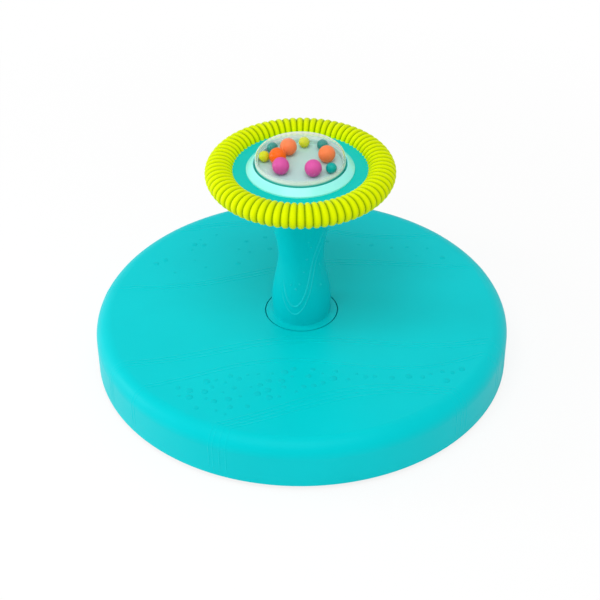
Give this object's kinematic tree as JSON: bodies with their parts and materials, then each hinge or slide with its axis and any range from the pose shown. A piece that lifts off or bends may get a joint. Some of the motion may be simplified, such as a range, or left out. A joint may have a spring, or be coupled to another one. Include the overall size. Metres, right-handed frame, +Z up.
{
  "type": "toddler spinning seat",
  "caption": "Round sit-on platform that spins about a fixed post with a ribbed hand wheel and a clear dome of loose beads on top.",
  "frame": {"origin": "centre of the footprint on the floor, on the spinning axis", "axes": "+Z up along the spinning axis, -Y towards the front, +X to the right seen from the front"},
  "size_m": [0.45, 0.45, 0.2658],
  "materials": {
    "teal_plastic": "satin moulded polypropylene",
    "lime_grip": "soft matt moulded ribs",
    "aqua_plastic": "glossy moulded ABS",
    "clear_plastic": "clear glossy styrene",
    "pale_tray": "satin moulded ABS",
    "white_acetal": "natural acetal",
    "grey_rubber": "matt rubber",
    "steel": "zinc plated steel",
    "bead_teal": "glossy bead",
    "bead_lime": "glossy bead",
    "bead_orange": "glossy bead",
    "bead_coral": "glossy bead",
    "bead_magenta": "glossy bead"
  },
  "bodies": {
    "base": {"floor_base": "teal_plastic", "rubber_feet": "grey_rubber", "roller_axles": "steel", "base_bolts": "steel", "post_collar": "teal_plastic", "post_front_shell": "teal_plastic", "post_rear_shell": "teal_plastic", "post_screws": "steel", "wheel_bowl": "teal_plastic", "wheel_screws": "steel", "wheel_plate": "teal_plastic", "bowl_screws": "steel", "grip_ring": "lime_grip", "bezel_ring": "aqua_plastic", "dome": "clear_plastic", "bead_tray": "pale_tray"},
    "platform": {"seat_platform": "teal_plastic", "roller_track": "white_acetal", "hub_bush": "white_acetal"},
    "roller_1": {"roller_1": "white_acetal"},
    "roller_2": {"roller_2": "white_acetal"},
    "roller_3": {"roller_3": "white_acetal"},
    "roller_4": {"roller_4": "white_acetal"},
    "roller_5": {"roller_5": "white_acetal"},
    "roller_6": {"roller_6": "white_acetal"},
    "bead_teal_left": {"bead_teal_left": "bead_teal"},
    "bead_lime_left": {"bead_lime_left": "bead_lime"},
    "bead_orange_left": {"bead_orange_left": "bead_orange"},
    "bead_coral_back": {"bead_coral_back": "bead_coral"},
    "bead_magenta_left": {"bead_magenta_left": "bead_magenta"},
    "bead_lime_back": {"bead_lime_back": "bead_lime"},
    "bead_teal_back": {"bead_teal_back": "bead_teal"},
    "bead_coral_right": {"bead_coral_right": "bead_coral"},
    "bead_teal_right": {"bead_teal_right": "bead_teal"},
    "bead_magenta_right": {"bead_magenta_right": "bead_magenta"}
  },
  "joints": [
    {"name": "platform_spin", "type": "hinge", "parent": "base", "child": "platform", "pos_m": [0, 0, 0.05], "axis": [0, 0, 1], "continuous": true},
    {"name": "roller_1_spin", "type": "hinge", "parent": "base", "child": "roller_1", "pos_m": [0.15, 0, 0.0188], "axis": [1, 0, 0], "continuous": true},
    {"name": "roller_2_spin", "type": "hinge", "parent": "base", "child": "roller_2", "pos_m": [0.075, 0.1299, 0.0188], "axis": [0.5, 0.866, 0], "continuous": true},
    {"name": "roller_3_spin", "type": "hinge", "parent": "base", "child": "roller_3", "pos_m": [-0.075, 0.1299, 0.0188], "axis": [-0.5, 0.866, 0], "continuous": true},
    {"name": "roller_4_spin", "type": "hinge", "parent": "base", "child": "roller_4", "pos_m": [-0.15, 0, 0.0188], "axis": [-1, 0, 0], "continuous": true},
    {"name": "roller_5_spin", "type": "hinge", "parent": "base", "child": "roller_5", "pos_m": [-0.075, -0.1299, 0.0188], "axis": [-0.5, -0.866, 0], "continuous": true},
    {"name": "roller_6_spin", "type": "hinge", "parent": "base", "child": "roller_6", "pos_m": [0.075, -0.1299, 0.0188], "axis": [0.5, -0.866, 0], "continuous": true},
    {"name": "bead_teal_left_hop", "type": "slide", "parent": "base", "child": "bead_teal_left", "axis": [0, 0, 1], "range_m": [0, 0.0029]},
    {"name": "bead_lime_left_hop", "type": "slide", "parent": "base", "child": "bead_lime_left", "axis": [0, 0, 1], "range_m": [0, 0.0029]},
    {"name": "bead_orange_left_hop", "type": "slide", "parent": "base", "child": "bead_orange_left", "axis": [0, 0, 1], "range_m": [0, 0.0018]},
    {"name": "bead_coral_back_hop", "type": "slide", "parent": "base", "child": "bead_coral_back", "axis": [0, 0, 1], "range_m": [0, 0.0015]},
    {"name": "bead_magenta_left_hop", "type": "slide", "parent": "base", "child": "bead_magenta_left", "axis": [0, 0, 1], "range_m": [0, 0.0011]},
    {"name": "bead_lime_back_hop", "type": "slide", "parent": "base", "child": "bead_lime_back", "axis": [0, 0, 1], "range_m": [0, 0.0038]},
    {"name": "bead_teal_back_hop", "type": "slide", "parent": "base", "child": "bead_teal_back", "axis": [0, 0, 1], "range_m": [0, 0.0029]},
    {"name": "bead_coral_right_hop", "type": "slide", "parent": "base", "child": "bead_coral_right", "axis": [0, 0, 1], "range_m": [0, 0.0004]},
    {"name": "bead_teal_right_hop", "type": "slide", "parent": "base", "child": "bead_teal_right", "axis": [0, 0, 1], "range_m": [0, 0.004]},
    {"name": "bead_magenta_right_hop", "type": "slide", "parent": "base", "child": "bead_magenta_right", "axis": [0, 0, 1], "range_m": [0, 0.0015]}
  ],
  "couplings": [
    {"joint": "roller_1_spin", "follows": "platform_spin", "ratio": -13.636},
    {"joint": "roller_2_spin", "follows": "platform_spin", "ratio": -13.636},
    {"joint": "roller_3_spin", "follows": "platform_spin", "ratio": -13.636},
    {"joint": "roller_4_spin", "follows": "platform_spin", "ratio": -13.636},
    {"joint": "roller_5_spin", "follows": "platform_spin", "ratio": -13.636},
    {"joint": "roller_6_spin", "follows": "platform_spin", "ratio": -13.636}
  ]
}
